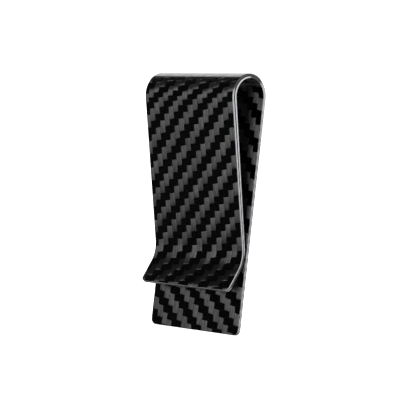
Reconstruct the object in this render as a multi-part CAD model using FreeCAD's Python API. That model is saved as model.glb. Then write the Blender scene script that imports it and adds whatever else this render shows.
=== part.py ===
import FreeCAD, Part

import math
import os

# A sprung money clip, moulded as one strip of carbon-fibre laminate.
# The strip starts at the foot of the back leg, climbs it, turns over in a round loop, comes down
# the front leg to the pinch, and flares forward as a lip. The flex of the loop lets the front arm
# open. The strip is divided at the top of the loop, where the front arm hinges.
# Lengths are in millimetres and angles in degrees. +Z is up, +Y points from the lip towards the
# back leg, and X runs across the strip. The origin is at the bottom centre of the bounding box.

# Driving dimensions
STRIP_WIDTH = 30.0
LOOP_RADIUS = 5.2           # outer face of the loop
LOOP_HOLE_RADIUS = 4.15     # inner face of the loop
LOOP_HOLE_SHIFT = 0.2       # how far the hole sits behind the loop's centre: the front wall is thicker
BACK_LEG_LEAN = 8.5         # the foot comes forward of the loop's back
BACK_LEG_LENGTH = 53.7
PINCH_DEPTH = 34.7          # centre of the pinch bend, below the loop's centre
PINCH_FORWARD = 9.15        # centre of the pinch bend, in front of the loop's centre
PINCH_RADIUS = 7.0          # outer, hollow face of the pinch bend
PINCH_THICKNESS = 0.85
LIP_FLARE = 36.5            # the lip's lean from the vertical
LIP_LENGTH = 5.4            # straight part of the lip, below the pinch bend
FOOT_CORNER_RADIUS = 1.5
LIP_CORNER_RADIUS = 1.1

# Where each layer starts and ends through the thickness, from the outer face (0) to the inner (1)
LAYERS = {"outer_ply": (0.0, 0.36), "core_ply": (0.36, 0.64), "inner_ply": (0.64, 1.0)}


def point(y, z):
    return FreeCAD.Vector(0.0, y, z)


def heading(angle):
    """Unit vector in the side view, with angle in degrees from +Y towards +Z."""
    return point(math.cos(math.radians(angle)), math.sin(math.radians(angle)))


class Contour:
    """One face or ply boundary of the strip in the side view, at a depth of 0 (outer) to 1 (inner)."""

    def __init__(self, depth):
        self.loop_centre = point(LOOP_HOLE_SHIFT * depth, 0.0)
        self.loop_radius = LOOP_RADIUS + (LOOP_HOLE_RADIUS - LOOP_RADIUS) * depth
        self.pinch_centre = point(-PINCH_FORWARD, -PINCH_DEPTH)
        self.pinch_radius = PINCH_RADIUS + PINCH_THICKNESS * depth

        self.back_normal = -BACK_LEG_LEAN
        down_back_leg = heading(self.back_normal - 90.0)
        self.loop_back = self.on_loop(self.back_normal)
        self.foot = self.loop_back + down_back_leg * BACK_LEG_LENGTH

        # The split stands straight above the centre of the loop's outer face.
        self.split_angle = math.degrees(math.acos(-self.loop_centre.y / self.loop_radius))
        self.loop_split = self.on_loop(self.split_angle)

        # The front leg is the line that touches the loop on its front and the pinch bend on its back.
        across = self.pinch_centre - self.loop_centre
        towards_pinch = math.degrees(math.atan2(across.z, across.y))
        reach = (self.loop_radius + self.pinch_radius) / across.Length
        self.front_normal = towards_pinch - math.degrees(math.acos(reach)) + 360.0
        self.loop_front = self.on_loop(self.front_normal)
        self.pinch_top = self.on_pinch(self.front_normal - 180.0)

        self.lip_normal = 180.0 - LIP_FLARE
        self.pinch_foot = self.on_pinch(self.lip_normal - 180.0)
        self.lip_tip = self.pinch_foot + heading(self.lip_normal + 90.0) * LIP_LENGTH

    def on_loop(self, angle):
        return self.loop_centre + heading(angle) * self.loop_radius

    def on_pinch(self, angle):
        return self.pinch_centre + heading(angle) * self.pinch_radius

    def back_leg(self):
        return [Part.LineSegment(self.foot, self.loop_back)]

    def loop_back_half(self):
        middle = self.on_loop((self.back_normal + self.split_angle) / 2.0)
        return [Part.Arc(self.loop_back, middle, self.loop_split)]

    def loop_front_half(self):
        middle = self.on_loop((self.split_angle + self.front_normal) / 2.0)
        return [Part.Arc(self.loop_split, middle, self.loop_front)]

    def front_leg(self):
        return [Part.LineSegment(self.loop_front, self.pinch_top)]

    def lip(self):
        middle = self.on_pinch((self.front_normal + self.lip_normal) / 2.0 - 180.0)
        bend = Part.Arc(self.pinch_top, middle, self.pinch_foot)
        return [bend, Part.LineSegment(self.pinch_foot, self.lip_tip)]


STRETCHES = {
    "back_leg": Contour.back_leg,
    "loop_back": Contour.loop_back_half,
    "loop_front": Contour.loop_front_half,
    "front_leg": Contour.front_leg,
    "lip": Contour.lip,
}


def ply_solid(stretch, outer_depth, inner_depth):
    """One layer of one stretch of the strip, as wide as the strip and centred on X = 0."""
    outer = STRETCHES[stretch](Contour(outer_depth))
    inner = STRETCHES[stretch](Contour(inner_depth))
    first_end = Part.LineSegment(inner[0].StartPoint, outer[0].StartPoint)
    last_end = Part.LineSegment(outer[-1].EndPoint, inner[-1].EndPoint)
    edges = [curve.toShape() for curve in outer + [last_end] + inner[::-1] + [first_end]]
    side = Part.Face(Part.Wire(Part.sortEdges(edges)[0]))
    side.translate(FreeCAD.Vector(-STRIP_WIDTH / 2.0, 0.0, 0.0))
    return side.extrude(FreeCAD.Vector(STRIP_WIDTH, 0.0, 0.0))


def round_corners(solid, end_point, radius):
    """Rounds the two corners of a ply at its free end, whose outer face ends at end_point."""
    corners = []
    for edge in solid.Edges:
        ends = [vertex.Point for vertex in edge.Vertexes]
        runs_through = len(ends) == 2 and abs(ends[0].x - ends[1].x) < 1e-6
        at_end = min(point(end.y, end.z).distanceToPoint(end_point) for end in ends) < 1e-6
        if runs_through and at_end and edge.Length < PINCH_THICKNESS:
            corners.append(edge)
    return solid.makeFillet(radius, corners)


def make_ply(stretch, outer_depth, inner_depth):
    solid = ply_solid(stretch, outer_depth, inner_depth)
    if stretch == "back_leg":
        solid = round_corners(solid, Contour(outer_depth).foot, FOOT_CORNER_RADIUS)
    if stretch == "lip":
        solid = round_corners(solid, Contour(outer_depth).lip_tip, LIP_CORNER_RADIUS)
    return solid


os.makedirs("parts", exist_ok=True)

plies = {}
for stretch in STRETCHES:
    for layer, (outer_depth, inner_depth) in LAYERS.items():
        plies[stretch + "_" + layer] = make_ply(stretch, outer_depth, inner_depth)

box = Part.makeCompound(list(plies.values())).BoundBox
to_origin = FreeCAD.Vector(0.0, -(box.YMin + box.YMax) / 2.0, -box.ZMin)

for node, solid in plies.items():
    solid.translate(to_origin)
    solid.exportStep("parts/" + node + ".step")

hinge = Contour(0.0).loop_split + to_origin
print("overall size", round(box.XLength, 3), round(box.YLength, 3), round(box.ZLength, 3))
print("hinge line at the loop's top: Y", round(hinge.y, 4), "Z", round(hinge.z, 4))
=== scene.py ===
import math
from collections import namedtuple
from functools import reduce
from itertools import accumulate

import bpy
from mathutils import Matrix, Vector


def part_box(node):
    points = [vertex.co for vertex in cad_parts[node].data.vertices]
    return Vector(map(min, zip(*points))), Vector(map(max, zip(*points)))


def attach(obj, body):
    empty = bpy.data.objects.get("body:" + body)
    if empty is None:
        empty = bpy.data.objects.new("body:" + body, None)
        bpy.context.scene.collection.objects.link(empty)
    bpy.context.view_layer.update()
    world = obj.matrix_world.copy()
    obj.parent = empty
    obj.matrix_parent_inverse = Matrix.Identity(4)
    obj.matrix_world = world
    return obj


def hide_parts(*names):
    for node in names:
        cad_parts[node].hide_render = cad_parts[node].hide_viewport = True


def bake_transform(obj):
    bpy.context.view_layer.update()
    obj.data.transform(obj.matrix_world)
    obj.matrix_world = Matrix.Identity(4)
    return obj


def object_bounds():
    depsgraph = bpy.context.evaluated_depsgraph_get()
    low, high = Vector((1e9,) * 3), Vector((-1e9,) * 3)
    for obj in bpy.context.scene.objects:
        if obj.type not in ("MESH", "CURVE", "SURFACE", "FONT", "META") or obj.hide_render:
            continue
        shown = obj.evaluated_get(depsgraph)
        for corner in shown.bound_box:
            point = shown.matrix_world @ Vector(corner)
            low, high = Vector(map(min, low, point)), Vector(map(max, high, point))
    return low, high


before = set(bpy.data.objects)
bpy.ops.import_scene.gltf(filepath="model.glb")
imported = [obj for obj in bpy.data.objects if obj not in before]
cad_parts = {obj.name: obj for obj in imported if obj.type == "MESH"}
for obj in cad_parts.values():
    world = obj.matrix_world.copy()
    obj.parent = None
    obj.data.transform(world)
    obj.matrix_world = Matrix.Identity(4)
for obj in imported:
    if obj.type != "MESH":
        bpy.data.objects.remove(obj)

CAD_BOUNDS = [[float(value) for value in corner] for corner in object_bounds()]
MM = 0.001

# ---- The strip's side view, as the CAD has it, in millimetres and degrees ----

STRIP_WIDTH = 30.0
LOOP_RADIUS = 5.2
LOOP_HOLE_RADIUS = 4.15
LOOP_HOLE_SHIFT = 0.2
BACK_LEG_LEAN = 8.5
BACK_LEG_LENGTH = 53.7
PINCH_DEPTH = 34.7
PINCH_FORWARD = 9.15
PINCH_RADIUS = 7.0
PINCH_THICKNESS = 0.85
LIP_FLARE = 36.5
LIP_LENGTH = 5.4
FOOT_CORNER_RADIUS = 1.5
LIP_CORNER_RADIUS = 1.1

# Where each layer starts and ends, as a share of the thickness from the outer face
LAYERS = {"outer_ply": (0.0, 0.36), "core_ply": (0.36, 0.64), "inner_ply": (0.64, 1.0)}

# The loop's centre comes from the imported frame.
LOOP_BACK = max(corner[1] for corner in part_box("loop_back_outer_ply")) / MM
LOOP_TOP = CAD_BOUNDS[1][2] / MM
CENTRE_Y = LOOP_BACK - LOOP_RADIUS
CENTRE_Z = LOOP_TOP - LOOP_RADIUS
TINY = 1e-9                         # slack for comparing distances


def heading(angle):
    """Unit vector in the side view, with angle in degrees from +Y towards +Z."""
    return Vector((0.0, math.cos(math.radians(angle)), math.sin(math.radians(angle))))


class Contour:
    """A lengthwise line through the strip at a depth of 0 (outer face) to 1 (inner face)."""

    def __init__(self, depth):
        centre = Vector((0.0, CENTRE_Y, CENTRE_Z))
        self.loop_centre = centre + Vector((0.0, LOOP_HOLE_SHIFT * depth, 0.0))
        self.loop_radius = LOOP_RADIUS + (LOOP_HOLE_RADIUS - LOOP_RADIUS) * depth
        self.pinch_centre = centre - Vector((0.0, PINCH_FORWARD, PINCH_DEPTH))
        self.pinch_radius = PINCH_RADIUS + PINCH_THICKNESS * depth
        between = self.pinch_centre - self.loop_centre
        towards_pinch = math.degrees(math.atan2(between.z, between.y))
        reach = (self.loop_radius + self.pinch_radius) / between.length
        self.back_normal = -BACK_LEG_LEAN
        self.front_normal = towards_pinch - math.degrees(math.acos(reach)) + 360.0
        self.lip_normal = 180.0 - LIP_FLARE

    def on_loop(self, angle):
        return self.loop_centre + heading(angle) * self.loop_radius

    def on_pinch(self, angle):
        return self.pinch_centre + heading(angle - 180.0) * self.pinch_radius

    def place(self, stretch, share):
        """Point and outward normal's angle at a share of one stretch, from the lip's tip onwards."""
        if stretch == "lip":
            bend = self.on_pinch(self.lip_normal)
            tip = bend + heading(self.lip_normal + 90.0) * LIP_LENGTH
            return tip.lerp(bend, share), self.lip_normal
        if stretch == "pinch":
            angle = self.lip_normal + (self.front_normal - self.lip_normal) * share
            return self.on_pinch(angle), angle
        if stretch == "front_leg":
            low, high = self.on_pinch(self.front_normal), self.on_loop(self.front_normal)
            return low.lerp(high, share), self.front_normal
        if stretch == "loop":
            angle = self.front_normal + (self.back_normal - self.front_normal) * share
            return self.on_loop(angle), angle
        top = self.on_loop(self.back_normal)
        foot = top + heading(self.back_normal - 90.0) * BACK_LEG_LENGTH
        return top.lerp(foot, share), self.back_normal


OUTER = Contour(0.0)

# Length of each stretch along the outer face, and where it starts, counted from the lip's tip
STRETCHES = {
    "lip": LIP_LENGTH,
    "pinch": PINCH_RADIUS * math.radians(OUTER.front_normal - OUTER.lip_normal),
    "front_leg": (OUTER.on_loop(OUTER.front_normal) - OUTER.on_pinch(OUTER.front_normal)).length,
    "loop": LOOP_RADIUS * math.radians(OUTER.front_normal - OUTER.back_normal),
    "back_leg": BACK_LEG_LENGTH,
}
STARTS = dict(zip(STRETCHES, accumulate(STRETCHES.values(), initial=0.0)))
LENGTH = sum(STRETCHES.values())


def along(distance, depth):
    """Point, outward normal and lengthwise direction at a distance from the lip's tip."""
    stretch = [name for name, start in STARTS.items() if start <= distance + TINY][-1]
    share = (distance - STARTS[stretch]) / STRETCHES[stretch]
    point, angle = Contour(depth).place(stretch, share)
    return point, heading(angle), heading(angle - 90.0)


def loop_distance(angle):
    """Distance from the lip's tip to where the loop's outward normal has this angle."""
    return STARTS["loop"] + LOOP_RADIUS * math.radians(OUTER.front_normal - angle)


def thickness_at(distance):
    return (along(distance, 0.0)[0] - along(distance, 1.0)[0]).length


# ---- The laminate's meshes ----

# Parts of the strip: where each starts and ends, which end is free, and that end's rounded corners
Part = namedtuple("Part", "start end free_end corner_radius")
PARTS = {
    "front_arm": Part(0.0, STARTS["loop"], "start", LIP_CORNER_RADIUS),
    "loop": Part(STARTS["loop"], STARTS["back_leg"], None, 0.0),
    "back_leg": Part(STARTS["back_leg"], LENGTH, "end", FOOT_CORNER_RADIUS),
}

COLUMNS = 13                        # grid corners across the strip
ROW_STEPS = {"lip": 6, "pinch": 14, "front_leg": 6, "loop": 48, "back_leg": 6}
CORNER_STEPS = 9                    # rows round a corner of the lip or foot
CORNER_GAP = 0.05                   # no other row lies nearer to them than this

EDGE_ROUNDING = 0.12
EDGE_TURNS = (0.0, 30.0, 60.0, 90.0)
FACE_WRAP = 60.0                    # the clear face runs this far round the rim, in degrees
CORE_RECESS = 0.03
FACE_SLOT, EDGE_SLOT = 0, 1

# One line of the cut edge's profile: how far it stands in from the outline, its depth in millimetres
# from the layer's rounded face (None at the other face), and how far its normal turns outwards
Level = namedtuple("Level", "inset drop turn")


def row_places(part):
    """Rows across the strip as (distance, corner angle); the angle is None outside the corners."""
    start, end, free_end, radius = PARTS[part]
    places = set()
    for name, first in STARTS.items():
        last = first + STRETCHES[name]
        if first >= start - TINY and last <= end + TINY:
            steps = ROW_STEPS[name]
            places.update(round(first + (last - first) * step / steps, 6) for step in range(steps + 1))
    angles = [90.0 * step / (CORNER_STEPS - 1) for step in range(CORNER_STEPS)]
    if free_end == "start":
        corner = [(start, angle) for angle in reversed(angles)]
        return corner + [(place, None) for place in sorted(places) if place > radius + CORNER_GAP]
    if free_end == "end":
        corner = [(end, angle) for angle in angles]
        return [(place, None) for place in sorted(places) if place < end - radius - CORNER_GAP] + corner
    return [(place, None) for place in sorted(places)]


def plan_point(part, row, column, inset):
    """Where a grid corner lies in the unrolled strip, and its outline's outward direction."""
    distance, angle = row
    side = 2.0 * column / (COLUMNS - 1) - 1.0
    outer_side = side if abs(side) == 1.0 else 0.0
    if angle is None:
        return (STRIP_WIDTH / 2.0 - inset) * side, distance, (outer_side, 0.0)
    radius = PARTS[part].corner_radius
    towards_end = -1.0 if PARTS[part].free_end == "start" else 1.0
    turn = math.radians(angle)
    half = STRIP_WIDTH / 2.0 - radius + (radius - inset) * math.cos(turn)
    inward = radius - (radius - inset) * math.sin(turn)
    outward = (0.0, towards_end)
    if outer_side:
        outward = (outer_side * math.cos(turn), towards_end * math.sin(turn))
    return half * side, distance - towards_end * inward, outward


def edge_profile(layer):
    """Levels of the cut edge, from the layer's rounded face to its other face."""
    if layer == "core_ply":
        return [Level(CORE_RECESS, 0.0, 90.0), Level(CORE_RECESS, None, 90.0)]
    levels = []
    for turn in EDGE_TURNS:
        inset = EDGE_ROUNDING * (1.0 - math.sin(math.radians(turn)))
        drop = EDGE_ROUNDING * (1.0 - math.cos(math.radians(turn)))
        levels.append(Level(inset, drop, turn))
    return levels + [Level(0.0, None, 90.0)]


class PlyMesh:
    """One layer of one part of the strip, with a rounded rim on the side that shows."""

    def __init__(self, part, layer):
        self.part, self.layer = part, layer
        self.rows = row_places(part)
        self.free_row = {"start": 0, "end": len(self.rows) - 1}.get(PARTS[part].free_end)
        self.levels = edge_profile(layer)
        self.last_level = len(self.levels) - 1
        self.top, self.bottom = LAYERS[layer]
        if layer == "inner_ply":
            self.top, self.bottom = self.bottom, self.top
        self.numbers = {}
        self.vertices, self.normals, self.places = [], [], []
        self.faces, self.corner_normals, self.slots = [], [], []
        self.add_sheets()
        self.add_rims()
        self.add_bonded_ends()

    def vertex(self, level, row, column):
        """Number of the vertex at a grid corner and level, which is added if it is new."""
        key = (level, row, column)
        if key not in self.numbers:
            self.numbers[key] = len(self.vertices)
            self.add_vertex(*key)
        return self.numbers[key]

    def add_vertex(self, level, row, column):
        inset, drop, _ = self.levels[level]
        x, distance, outward = plan_point(self.part, self.rows[row], column, inset)
        thickness = thickness_at(distance)
        depth = self.bottom
        if drop is not None:
            depth = self.top + math.copysign(drop / thickness, self.bottom - self.top)
        point, normal, lengthwise = along(distance, depth)
        if self.layer == "inner_ply":
            normal = -normal
        outline = Vector((outward[0], 0.0, 0.0)) + lengthwise * outward[1]
        self.vertices.append((point + Vector((x, 0.0, 0.0))) * MM)
        self.normals.append((normal, outline))
        self.places.append((x, distance, depth * thickness))

    def add_face(self, corners, normals, slot):
        """Adds a face, turned over if need be so that it faces the way its corner normals do."""
        quarters = [self.vertices[corners[len(corners) * quarter // 4]] for quarter in range(4)]
        facing = (quarters[2] - quarters[0]).cross(quarters[3] - quarters[1])
        if facing.dot(sum(normals, Vector())) < 0.0:
            corners, normals = corners[::-1], normals[::-1]
        self.faces.append(corners)
        self.corner_normals.extend(normals)
        self.slots.append(slot)

    def add_sheets(self):
        """The face that shows, and the face bonded to the next layer."""
        for row in range(len(self.rows) - 1):
            for column in range(COLUMNS - 1):
                around = ((row, column), (row, column + 1), (row + 1, column + 1), (row + 1, column))
                for level, sign, slot in ((0, 1.0, FACE_SLOT), (self.last_level, -1.0, EDGE_SLOT)):
                    corners = [self.vertex(level, *place) for place in around]
                    self.add_face(corners, [self.normals[corner][0] * sign for corner in corners], slot)

    def add_rims(self):
        """The cut edges along both sides, and across the free end if there is one."""
        chains = [[(row, column) for row in range(len(self.rows))] for column in (0, COLUMNS - 1)]
        if self.free_row is not None:
            chains.append([(self.free_row, column) for column in range(COLUMNS)])
        for chain in chains:
            for first, second in zip(chain, chain[1:]):
                for level in range(self.last_level):
                    self.add_rim_face(level, first, second)

    def add_rim_face(self, level, first, second):
        corners = [self.vertex(level, *first), self.vertex(level, *second),
                   self.vertex(level + 1, *second), self.vertex(level + 1, *first)]
        upper, lower = self.levels[level].turn, self.levels[level + 1].turn
        turns = (upper, upper, lower, lower)
        normals = [self.rim_normal(corner, turn) for corner, turn in zip(corners, turns)]
        self.add_face(corners, normals, FACE_SLOT if lower <= FACE_WRAP else EDGE_SLOT)

    def rim_normal(self, corner, turn):
        """A vertex's face normal, turned by some degrees towards the outside of the outline."""
        normal, outline = self.normals[corner]
        turn = math.radians(turn)
        return (normal * math.cos(turn) + outline * math.sin(turn)).normalized()

    def add_bonded_ends(self):
        """The flat ends where this part of the strip meets the next."""
        for row, sign in ((0, -1.0), (len(self.rows) - 1, 1.0)):
            if row != self.free_row:
                ring = self.end_ring(row)
                lengthwise = along(self.rows[row][0], 0.5)[2] * sign
                self.add_face(ring, [lengthwise] * len(ring), EDGE_SLOT)

    def end_ring(self, row):
        """Vertices round one cross-section."""
        between = range(1, self.last_level)
        ring = [self.vertex(0, row, column) for column in range(COLUMNS)]
        ring += [self.vertex(level, row, COLUMNS - 1) for level in between]
        ring += [self.vertex(self.last_level, row, column) for column in reversed(range(COLUMNS))]
        ring += [self.vertex(level, row, 0) for level in reversed(between)]
        return ring

    def to_piece(self, materials):
        """A Blender object of the mesh, with its places in the unrolled strip as an attribute."""
        name = self.part + "_" + self.layer + "_laminate"
        mesh = bpy.data.meshes.new(name)
        mesh.from_pydata(self.vertices, [], self.faces)
        for material in materials:
            mesh.materials.append(material)
        mesh.polygons.foreach_set("material_index", self.slots)
        mesh.polygons.foreach_set("use_smooth", [True] * len(self.faces))
        strip = mesh.attributes.new("strip", "FLOAT_VECTOR", "POINT")
        strip.data.foreach_set("vector", [value for place in self.places for value in place])
        mesh.normals_split_custom_set(self.corner_normals)
        piece = bpy.data.objects.new(name, mesh)
        bpy.context.scene.collection.objects.link(piece)
        return piece


# ---- Node graphs ----

# A smooth step is given as (start, end), or as (start, end, value before, value after), and a window
# as its step up and its step down.
NOISE_RANGE = (0.3, 0.7)            # most of a noise texture's values lie between these
NOISE_DETAIL = 2.0
FINE_DETAIL = 3.0
NOISE_ROUGHNESS = 0.6
MIX_SOCKETS = {"FLOAT": (2, 3, 0), "VECTOR": (4, 5, 1), "RGBA": (6, 7, 2)}
WHITE = (1.0, 1.0, 1.0, 1.0)


class Graph:
    """Short calls that add nodes to the tree of one material or world."""

    def __init__(self, owner):
        self.owner = owner
        self.owner.use_nodes = True
        self.tree = owner.node_tree

    def shader(self):
        return self.tree.nodes["Principled BSDF"].inputs

    def finish(self, values):
        """Sets shader values that are the same all over."""
        for name, value in values.items():
            self.shader()[name].default_value = value

    def feed(self, socket, value):
        if isinstance(value, bpy.types.NodeSocket):
            self.tree.links.new(value, socket)
        else:
            socket.default_value = value

    def add(self, kind, inputs, output=0, **settings):
        node = self.tree.nodes.new(kind)
        for key, value in settings.items():
            setattr(node, key, value)
        for key, value in inputs.items():
            self.feed(node.inputs[key], value)
        return node.outputs[output]

    def separate(self, vector):
        node = self.tree.nodes.new("ShaderNodeSeparateXYZ")
        self.feed(node.inputs[0], vector)
        return node.outputs

    def math(self, operation, *values):
        return self.add("ShaderNodeMath", dict(enumerate(values)), operation=operation)

    def total(self, *values):
        return reduce(lambda first, second: self.math("ADD", first, second), values)

    def minus(self, first, second):
        return self.math("SUBTRACT", first, second)

    def product(self, *values):
        return reduce(lambda first, second: self.math("MULTIPLY", first, second), values)

    def excess(self, value, limit):
        """How far a value lies above a limit, or 0."""
        return self.math("MAXIMUM", self.minus(value, limit), 0.0)

    def remap(self, value, low, high, to_low=0.0, to_high=1.0):
        """A smooth step between two values."""
        inputs = {"Value": value, "From Min": low, "From Max": high, "To Min": to_low, "To Max": to_high}
        return self.add("ShaderNodeMapRange", inputs, interpolation_type="SMOOTHSTEP")

    def window(self, value, rise, fall):
        """1 between two smooth steps, 0 outside them."""
        return self.product(self.remap(value, *rise), self.remap(value, *fall, 1.0, 0.0))

    def boosted(self, share, gain):
        """1 where the share is 0, and 1 + gain where it is 1."""
        return self.math("MULTIPLY_ADD", share, gain, 1.0)

    def noise(self, x, y, scale, detail=NOISE_DETAIL):
        place = self.add("ShaderNodeCombineXYZ", {"X": x, "Y": y, "Z": 0.0})
        inputs = {"Vector": place, "Scale": scale, "Detail": detail, "Roughness": NOISE_ROUGHNESS}
        return self.add("ShaderNodeTexNoise", inputs, noise_dimensions="2D")

    def spread(self, noise, low, high):
        """Noise stretched to run from low to high."""
        return self.remap(noise, *NOISE_RANGE, low, high)

    def chance(self, x, y):
        """A random number from 0 to 1 for each whole pair."""
        place = self.add("ShaderNodeCombineXYZ", {"X": x, "Y": y, "Z": 0.0})
        return self.add("ShaderNodeTexWhiteNoise", {"Vector": place}, noise_dimensions="2D")

    def mix(self, share, first, second, kind="FLOAT"):
        """The first value where the share is 0, the second where it is 1."""
        first_socket, second_socket, output = MIX_SOCKETS[kind]
        inputs = {0: share, first_socket: first, second_socket: second}
        return self.add("ShaderNodeMix", inputs, output, data_type=kind)

    def tinted(self, value, tint):
        return self.add("ShaderNodeVectorMath", {0: tint, "Scale": value}, operation="SCALE")

    def strip(self):
        """Across, along and depth in the unrolled strip, in millimetres."""
        return self.separate(self.add("ShaderNodeAttribute", {}, "Vector", attribute_name="strip"))


# ---- The twill faces ----

# Pitches in millimetres, where the count starts in pitches, and how far the picks rise per mm across
OUTER_WEAVE = {"tow": 1.684, "pick": 1.548, "first_tow": 0.164, "first_pick": 2.273, "slant": 0.0825,
               "brightness": 1.0}
INNER_WEAVE = {"tow": 1.746, "pick": 1.530, "first_tow": 0.433, "first_pick": 0.28, "slant": 0.0512,
               "brightness": 0.9}

REPEAT = 4.0                        # a 2x2 twill repeats every four tows
WARP_ON_TOP = ((0.0, 0.05), (1.90, 1.94))   # in picks, from a float's lower end
FLOAT_SLANT = 0.07                  # picks that a float's end rises across its tow
TOW_SWAY_SCALE = 0.11               # tows and picks wander: noise scales, and range in pitches
PICK_HEAVE_SCALE = 0.13
WANDER_RANGE = 0.30
LOOP_CROWDING = (41.8, 47.3, 0.0, 1.02)     # one more pick fits in where the outer ply turns over the loop

# Relief: heights in metres, places in picks from a float's lower end
TOW_CROWN = 0.00008
CROWN_MIDDLE = 0.97
SIDE_CROWN = 0.35 * TOW_CROWN
LOWER_TUCK = (0.10, 0.0009)         # where a float's end starts to dive, and how steeply
UPPER_TUCK = (1.78, 0.0002)
TIP_ROLL = (0.9, 0.0003)            # the face rolls off over the lip's last 0.9 mm

# Brightness of the tows, and the shares between which it varies
# Warp and weft are the same fibres, but the warp is painted about nine times as bright as the weft: painted
# sheen and painted shade over the real shading that the tangent across the fibres gives.
WARP_GREY = 0.13
WEFT_GREY = 0.014
WARP_TINT = (0.99, 1.0, 1.0)
WEFT_TINT = (0.96, 0.99, 1.0)
WARP_FIBRES = (0.72, 1.22)
WEFT_FIBRES = (0.6, 1.4)
FIBRE_FINENESS = 14.0
FIBRE_SCALE = 0.9
STRANDS = (0.78, 1.22)
STRAND_STRETCH = (2.6, 0.3)         # strands are fine across a tow and long along it
STRAND_JUMP = (5.3, 2.7)            # and differ from tow to tow and from float to float
FLOAT_LEAST, FLOAT_SPREAD = 0.85, 0.34      # each float's own share
SEAM_SIDE_PAINTED_SHADE = (0.0, 0.13, 0.3, 1.0)   # painted shade at one side, by the seam between two tows
# painted highlight along a tow's other side
FAR_SIDE_PAINTED_HIGHLIGHT = (0.72, 0.94, 0.95, 1.12)
LOWER_END_PAINTED_HIGHLIGHT = (0.06, 0.20, 0.8, 0.0)  # painted highlights, where fibre ends would catch more light
UPPER_END_PAINTED_HIGHLIGHT = (1.76, 1.84, 0.0, 0.25)
LOOP_PAINTED_SHEEN = ((45.2, 47.8), (48.0, 49.2))    # painted sheen on the tows over the loop
LOOP_PAINTED_SHEEN_GAIN = 1.3

# On the lip, a few tows get a painted glint along one strand
STRAY_RARITY = 0.5
STRAY_GLINT_GAIN = 6.0
STRAY_RIDGE = ((0.34, 0.46), (0.48, 0.60))
STRAY_ALONG = ((0.6, 1.2), (2.6, 3.6))
STRAY_ACROSS = (-8.0, 2.0, 1.0, 0.0)

FACE_ROUGHNESS = (0.40, 0.50)
FACE_ROUGHNESS_SCALE = 3.0
FACE_FINISH = {"Metallic": 1.0, "Anisotropic": 0.95, "Coat Weight": 1.0, "Coat Roughness": 0.03,
               "Coat IOR": 1.6}
CROSSWISE = (1.0, 0.0, 0.0)

# Where a point lies: its warp tow (column, share across, picks along the float, the float's number),
# the same for its weft tow, and which of the two is on top
TowPlace = namedtuple("TowPlace", "column across phase number weft_across weft_phase warp_on_top")


def wander(graph, first, second, scale):
    """Slow drift to either side, in pitches."""
    return graph.product(graph.minus(graph.noise(first, second, scale), 0.5), WANDER_RANGE)


def count_tows(graph, x, distance, weave):
    """A place in the weave, as tows counted across and picks counted along."""
    sway = wander(graph, x, distance, TOW_SWAY_SCALE)
    heave = wander(graph, distance, x, PICK_HEAVE_SCALE)
    tows = graph.total(graph.math("DIVIDE", x, weave["tow"]), weave["first_tow"], sway)
    level = graph.minus(distance, graph.product(x, weave["slant"]))
    picks = graph.total(graph.math("DIVIDE", level, weave["pick"]), weave["first_pick"], heave)
    if weave is OUTER_WEAVE:
        picks = graph.total(picks, graph.remap(distance, *LOOP_CROWDING))
    return tows, picks


def find_tow(graph, tows, picks):
    """Where a place in the weave lies on its warp tow and on its weft tow."""
    column = graph.math("FLOOR", tows)
    across = graph.math("FRACT", tows)
    slant = graph.product(graph.minus(across, 0.5), FLOAT_SLANT)
    stepped = graph.minus(graph.minus(picks, column), slant)
    phase = graph.math("FLOORED_MODULO", stepped, REPEAT)
    number = graph.math("FLOOR", graph.math("DIVIDE", stepped, REPEAT))
    weft_stepped = graph.minus(tows, graph.total(graph.math("FLOOR", picks), 1.0))
    weft_phase = graph.math("FLOORED_MODULO", weft_stepped, REPEAT)
    warp_on_top = graph.window(phase, *WARP_ON_TOP)
    return TowPlace(column, across, phase, number, graph.math("FRACT", picks), weft_phase, warp_on_top)


def float_height(graph, across, phase):
    """A float is arched along its length, tucked under at both ends and rounded at its sides."""
    from_middle = graph.math("ABSOLUTE", graph.minus(phase, CROWN_MIDDLE))
    arch = graph.product(graph.math("POWER", from_middle, 2.0), TOW_CROWN)
    lower_tuck = graph.product(graph.excess(LOWER_TUCK[0], phase), LOWER_TUCK[1])
    upper_tuck = graph.product(graph.excess(phase, UPPER_TUCK[0]), UPPER_TUCK[1])
    from_centre = graph.math("ABSOLUTE", graph.minus(graph.product(across, 2.0), 1.0))
    sides = graph.product(graph.math("POWER", from_centre, 4.0), SIDE_CROWN)
    return graph.minus(0.0, graph.total(arch, lower_tuck, upper_tuck, sides))


def face_height(graph, distance, place):
    """Height of whichever tow is on top, less what the lip's rolled end takes off."""
    warp = float_height(graph, place.across, place.phase)
    weft = float_height(graph, place.weft_across, place.weft_phase)
    rolled_off = graph.math("POWER", graph.excess(TIP_ROLL[0], distance), 2.0)
    return graph.minus(graph.mix(place.warp_on_top, weft, warp), graph.product(rolled_off, TIP_ROLL[1]))


def fibres(graph, across, lengthwise, shares):
    """Brightness of single fibres, between two shares."""
    noise = graph.noise(graph.product(across, FIBRE_FINENESS), lengthwise, FIBRE_SCALE, FINE_DETAIL)
    return graph.spread(noise, *shares)


def strands(graph, x, distance, place):
    """Brightness of a warp tow's strands, which are wider than fibres."""
    column_jump = graph.product(place.column, STRAND_JUMP[0])
    float_jump = graph.product(place.number, STRAND_JUMP[1])
    across = graph.math("MULTIPLY_ADD", x, STRAND_STRETCH[0], column_jump)
    lengthwise = graph.math("MULTIPLY_ADD", distance, STRAND_STRETCH[1], float_jump)
    return graph.spread(graph.noise(across, lengthwise, 1.0), *STRANDS)


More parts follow.
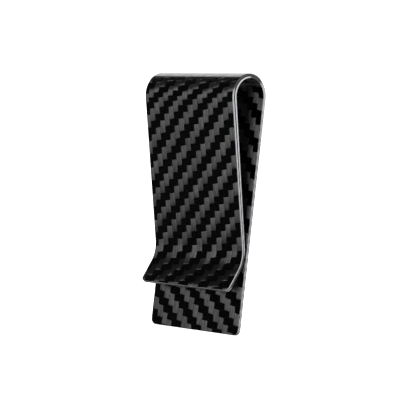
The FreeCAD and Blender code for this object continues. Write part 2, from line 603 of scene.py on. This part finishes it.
def warp_grey(graph, x, distance, place):
    """The warp's brightness, as it varies by fibre, strand and float, with painted shade and a painted
    highlight at a float's sides and painted highlights at its ends.
    """
    own = graph.total(graph.product(graph.chance(place.column, place.number), FLOAT_SPREAD), FLOAT_LEAST)
    # Painted shade along one side of each tow and a painted highlight along the other.
    sides = graph.product(graph.remap(place.across, *SEAM_SIDE_PAINTED_SHADE), graph.remap(place.across, *FAR_SIDE_PAINTED_HIGHLIGHT))
    # Painted highlights at both ends of each float.
    ends = graph.total(graph.remap(place.phase, *LOWER_END_PAINTED_HIGHLIGHT), graph.remap(place.phase, *UPPER_END_PAINTED_HIGHLIGHT), 1.0)
    fine = fibres(graph, x, distance, WARP_FIBRES)
    return graph.product(fine, own, sides, strands(graph, x, distance, place), ends, WARP_GREY)


def painted_strand_glints(graph, x, distance, place):
    """1 on the strands that get a painted glint, 0 elsewhere."""
    chosen = graph.math("GREATER_THAN", graph.chance(place.number, place.column), STRAY_RARITY)
    ridge = graph.window(place.across, *STRAY_RIDGE)
    on_lip = graph.product(graph.window(distance, *STRAY_ALONG), graph.remap(x, *STRAY_ACROSS))
    return graph.product(chosen, ridge, on_lip)


def outer_painted_highlights(graph, x, distance, place):
    """Painted highlights that only the outer face has: a painted sheen over the loop and painted glints on
    the lip.
    """
    # Painted sheen over the loop.
    painted_sheen = graph.boosted(graph.window(distance, *LOOP_PAINTED_SHEEN), LOOP_PAINTED_SHEEN_GAIN)
    return graph.product(painted_sheen, graph.boosted(painted_strand_glints(graph, x, distance, place), STRAY_GLINT_GAIN))


def across_fibres(graph, place):
    """Direction across the fibres of the tow on top, which is the way that they spread light."""
    normal = graph.add("ShaderNodeNewGeometry", {}, "Normal")
    lengthwise = graph.add("ShaderNodeVectorMath", {0: normal, 1: CROSSWISE}, operation="CROSS_PRODUCT")
    return graph.mix(place.warp_on_top, lengthwise, CROSSWISE, "VECTOR")


def twill(name, weave):
    """Carbon twill under clear resin, where warp and weft catch the light differently and the warp is also
    painted brighter than the weft.
    """
    graph = Graph(bpy.data.materials.new(name))
    x, distance, _ = graph.strip()
    place = find_tow(graph, *count_tows(graph, x, distance, weave))
    warp = graph.product(warp_grey(graph, x, distance, place), weave["brightness"])
    if weave is OUTER_WEAVE:
        # The outer face gets painted sheen over the loop and painted glints on the lip.
        warp = graph.product(warp, outer_painted_highlights(graph, x, distance, place))
    weft = graph.product(fibres(graph, distance, x, WEFT_FIBRES), WEFT_GREY)
    colours = graph.tinted(weft, WEFT_TINT), graph.tinted(warp, WARP_TINT)
    roughness = graph.noise(x, distance, FACE_ROUGHNESS_SCALE, FINE_DETAIL)
    bump = {"Height": face_height(graph, distance, place), "Strength": 1.0, "Distance": 1.0}

    shader = graph.shader()
    graph.feed(shader["Base Color"], graph.mix(place.warp_on_top, *colours, "RGBA"))
    graph.feed(shader["Roughness"], graph.spread(roughness, *FACE_ROUGHNESS))
    graph.feed(shader["Normal"], graph.add("ShaderNodeBump", bump))
    graph.feed(shader["Tangent"], across_fibres(graph, place))
    graph.finish(FACE_FINISH)
    return graph.owner


# ---- The cut edge ----

EDGE_GREY = 0.62
CORE_GREY = 0.02
# share of the edge's grey that is left where it gets painted shade
PAINTED_SHADE_SHARE = 0.1
EDGE_TINT = (0.95, 0.96, 1.0)
TWIST_PITCH = 2.1                   # silver dashes slant across the edge, as in a laid rope
TWIST_SLANT = 2.6                   # dashes that go by for each millimetre of depth
TWIST_WANDER = 0.9
TWIST_WANDER_SCALE = 0.35
DASH_DEPTHS = ((0.02, 0.25), (0.7, 0.92))
DASH_WIDTH = (0.10, 0.40)
DASH_STRENGTH = (loop_distance(10.0), LENGTH - 42.0, 0.3, 0.86)     # stronger on the back leg
EDGE_FIBRE_FINENESS = 20.0
EDGE_FIBRE_SCALE = 1.6
EDGE_FIBRES = (0.8, 1.15)
EDGE_RELIEF = {"Strength": 0.6, "Distance": 0.00004}
EDGE_ROUGHNESS = (0.5, 1.0, 0.5, 0.3)       # bright dashes are the smoothest
EDGE_FINISH = {"Metallic": 0.8, "Coat Weight": 0.4, "Coat Roughness": 0.08}

# Windows along the strip where a ply's edge gets painted shade, and where the core's edge is near black
LIP_INNER_PAINTED_SHADE = ((0.5, 1.6), (8.0, 10.5))
LOOP_OUTER_PAINTED_SHADE = ((loop_distance(168.0), loop_distance(150.0)), (loop_distance(52.0), loop_distance(25.0)))
LOOP_INNER_PAINTED_SHADE = ((loop_distance(95.0), loop_distance(80.0)), (loop_distance(52.0), loop_distance(30.0)))
CORE_DARK_UNTIL = (loop_distance(50.0), loop_distance(25.0))
INNER_PLY_DEPTH = (0.45, 0.55)

# The lip's end edge is darker than the side edges
TIP_ALONG = (0.2, 0.6, 1.0, 0.0)
TIP_ACROSS = (13.6, 14.5, 1.0, 0.0)
TIP_LOSS_OUTER, TIP_LOSS_INNER = 0.35, 0.85


def edge_dashes(graph, x, distance, depth):
    """1 between the dashes' dark gaps, and less in them."""
    twist = graph.minus(graph.math("DIVIDE", distance, TWIST_PITCH), graph.product(depth, TWIST_SLANT))
    twist = graph.total(twist, graph.product(graph.noise(distance, x, TWIST_WANDER_SCALE), TWIST_WANDER))
    wave = graph.math("ABSOLUTE", graph.minus(graph.math("FRACT", twist), 0.5))
    strength = graph.product(graph.remap(distance, *DASH_STRENGTH), graph.window(depth, *DASH_DEPTHS))
    return graph.remap(wave, *DASH_WIDTH, graph.minus(1.0, strength), 1.0)


def ply_edge_share(graph, x, distance, depth):
    """How bright a ply's edge is, from painted shade on stretches of both plies and from the lip's end."""
    inner = graph.remap(depth, *INNER_PLY_DEPTH)
    # Painted shade on the inner ply's edge over the lip and loop, and on the outer ply's edge over the
    # loop.
    on_lip, on_loop = (graph.window(distance, *dark) for dark in (LIP_INNER_PAINTED_SHADE, LOOP_INNER_PAINTED_SHADE))
    dark = graph.mix(inner, graph.window(distance, *LOOP_OUTER_PAINTED_SHADE), graph.total(on_lip, on_loop))
    at_tip = graph.product(graph.remap(distance, *TIP_ALONG), graph.remap(x, *TIP_ACROSS))
    tip_loss = graph.product(at_tip, graph.mix(inner, TIP_LOSS_OUTER, TIP_LOSS_INNER))
    return graph.product(graph.minus(1.0, tip_loss), graph.remap(dark, 0.0, 1.0, 1.0, PAINTED_SHADE_SHARE))


def cut_edge(name, is_core):
    """Sanded edge of the laminate, with silvery cut tows."""
    graph = Graph(bpy.data.materials.new(name))
    x, distance, depth = graph.strip()
    dash = edge_dashes(graph, x, distance, depth)
    fine = graph.noise(graph.product(depth, EDGE_FIBRE_FINENESS), distance, EDGE_FIBRE_SCALE, FINE_DETAIL)
    silver = graph.product(dash, graph.spread(fine, *EDGE_FIBRES), EDGE_GREY)
    if is_core:
        grey = graph.mix(graph.remap(distance, *CORE_DARK_UNTIL), CORE_GREY, silver)
    else:
        grey = graph.product(silver, ply_edge_share(graph, x, distance, depth))

    shader = graph.shader()
    graph.feed(shader["Base Color"], graph.tinted(grey, EDGE_TINT))
    graph.feed(shader["Roughness"], graph.remap(dash, *EDGE_ROUGHNESS))
    graph.feed(shader["Normal"], graph.add("ShaderNodeBump", {"Height": dash, **EDGE_RELIEF}))
    graph.finish(EDGE_FINISH)
    return graph.owner


# ---- The clip ----


def build_strip():
    """The three plies of the laminate, each as a front arm, a loop that stays in place and a back leg."""
    edge, core = cut_edge("ply_cut_edge", False), cut_edge("core_cut_edge", True)
    materials = {
        "outer_ply": [twill("outer_twill", OUTER_WEAVE), edge],
        "core_ply": [core, core],
        "inner_ply": [twill("inner_twill", INNER_WEAVE), edge],
    }
    for layer in LAYERS:
        arm = PlyMesh("front_arm", layer).to_piece(materials[layer])
        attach(arm, "front_arm")
        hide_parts("front_leg_" + layer, "lip_" + layer)

        loop = PlyMesh("loop", layer).to_piece(materials[layer])
        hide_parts("loop_back_" + layer, "loop_front_" + layer)
        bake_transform(loop)

        leg = PlyMesh("back_leg", layer).to_piece(materials[layer])
        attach(leg, "back_half")
        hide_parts("back_leg_" + layer)


# ---- Camera and studio: metres, and degrees of azimuth (from the front, towards +X) and elevation ----

AIM = (-0.00096, 0.00015, 0.02989)
CAMERA = {"azimuth": 48.13, "elevation": 3.78, "distance": 0.4721}
FOCAL_LENGTH = 184.2
FRONT_SOFTBOX = {"azimuth": 22.0, "elevation": 6.0, "distance": 0.30}
FRONT_SOFTBOX_SIZE = (0.12, 0.25)
FRONT_SOFTBOX_POWER = 0.67
FLOOR_REACH = 6.0
FLOOR_GRAIN = {"Scale": 40.0, "Detail": 3.0}
FLOOR_TONES = (0.90, 0.93)
FLOOR_FINISH = {"Roughness": 0.9, "Specular IOR Level": 0.0, "Emission Color": WHITE,
                "Emission Strength": 1.0}

# The world's brightness to the eye and as fill, and then in reflections. Steps run over x, y or z of
# the direction looked in.
WHITE_VIEW = 1.1
DARK_ROOM = 0.006
TABLE = (-0.45, -0.30, 0.12, DARK_ROOM)
TABLE_EDGE = (-0.60, -0.48)
BACKDROP_EDGE = (0.26, 0.38)
LEFT_WALL = 0.55
LEFT_WALL_RISE = 1.7
RIGHT_WALL = (0.15, 0.5, 0.95, DARK_ROOM)
RIGHT_WALL_EDGE = (-0.1, 0.2)


def from_aim(azimuth, elevation, distance):
    """Point at a distance from the aim in a given direction."""
    side, rise = math.radians(azimuth), math.radians(elevation)
    level = distance * math.cos(rise)
    offset = Vector((level * math.sin(side), -level * math.cos(side), distance * math.sin(rise)))
    return Vector(AIM) + offset


def place_facing(name, data, place):
    """Adds a camera or light that looks at the aim."""
    thing = bpy.data.objects.new(name, data)
    bpy.context.scene.collection.objects.link(thing)
    thing.location = from_aim(**place)
    thing.rotation_euler = (Vector(AIM) - thing.location).to_track_quat("-Z", "Y").to_euler()
    return thing


def add_camera():
    data = bpy.data.cameras.new("studio_camera")
    data.sensor_width = 36.0
    data.lens = FOCAL_LENGTH
    data.clip_start = 0.01
    bpy.context.scene.camera = place_facing("studio_camera", data, CAMERA)


def add_softbox():
    data = bpy.data.lights.new("front_softbox", "AREA")
    data.shape = "RECTANGLE"
    data.size, data.size_y = FRONT_SOFTBOX_SIZE
    data.energy = FRONT_SOFTBOX_POWER
    light = place_facing("front_softbox", data, FRONT_SOFTBOX)
    light.visible_camera = False


def pale_floor():
    graph = Graph(bpy.data.materials.new("pale_floor"))
    place = graph.add("ShaderNodeTexCoord", {}, "Object")
    noise = graph.add("ShaderNodeTexNoise", {"Vector": place, **FLOOR_GRAIN})
    tone = graph.tinted(graph.spread(noise, *FLOOR_TONES), WHITE[:3])
    graph.feed(graph.shader()["Base Color"], tone)
    graph.finish(FLOOR_FINISH)
    return graph.owner


def add_floor():
    """A floor that glows white and takes no shadow."""
    reach = FLOOR_REACH
    corners = [(-reach, -reach, 0.0), (reach, -reach, 0.0), (reach, reach, 0.0), (-reach, reach, 0.0)]
    mesh = bpy.data.meshes.new("studio_floor")
    mesh.from_pydata(corners, [], [(0, 1, 2, 3)])
    mesh.materials.append(pale_floor())
    floor = bpy.data.objects.new("studio_floor", mesh)
    bpy.context.scene.collection.objects.link(floor)
    floor.visible_glossy = False
    floor.visible_shadow = False


def add_world():
    """White to the eye and as fill; reflections see a dark room in front of a lit white backdrop."""
    graph = Graph(bpy.data.worlds.new("studio"))
    graph.tree.nodes.clear()
    is_glossy = graph.add("ShaderNodeLightPath", {}, "Is Glossy Ray")
    x, y, z = graph.separate(graph.add("ShaderNodeTexCoord", {}, "Generated"))
    left_wall = graph.math("MULTIPLY_ADD", graph.excess(z, 0.0), LEFT_WALL_RISE, LEFT_WALL)
    backdrop = graph.mix(graph.remap(x, *RIGHT_WALL_EDGE), left_wall, graph.remap(z, *RIGHT_WALL))
    behind = graph.product(graph.remap(y, *BACKDROP_EDGE), graph.remap(z, *TABLE_EDGE))
    reflected = graph.mix(behind, graph.remap(z, *TABLE), backdrop)
    strength = graph.mix(is_glossy, WHITE_VIEW, reflected)
    background = graph.add("ShaderNodeBackground", {"Strength": strength, "Color": WHITE})
    output = graph.tree.nodes.new("ShaderNodeOutputWorld")
    graph.feed(output.inputs["Surface"], background)
    bpy.context.scene.world = graph.owner
    bpy.context.scene.view_settings.view_transform = "Standard"


build_strip()
add_camera()
add_floor()
add_world()
add_softbox()
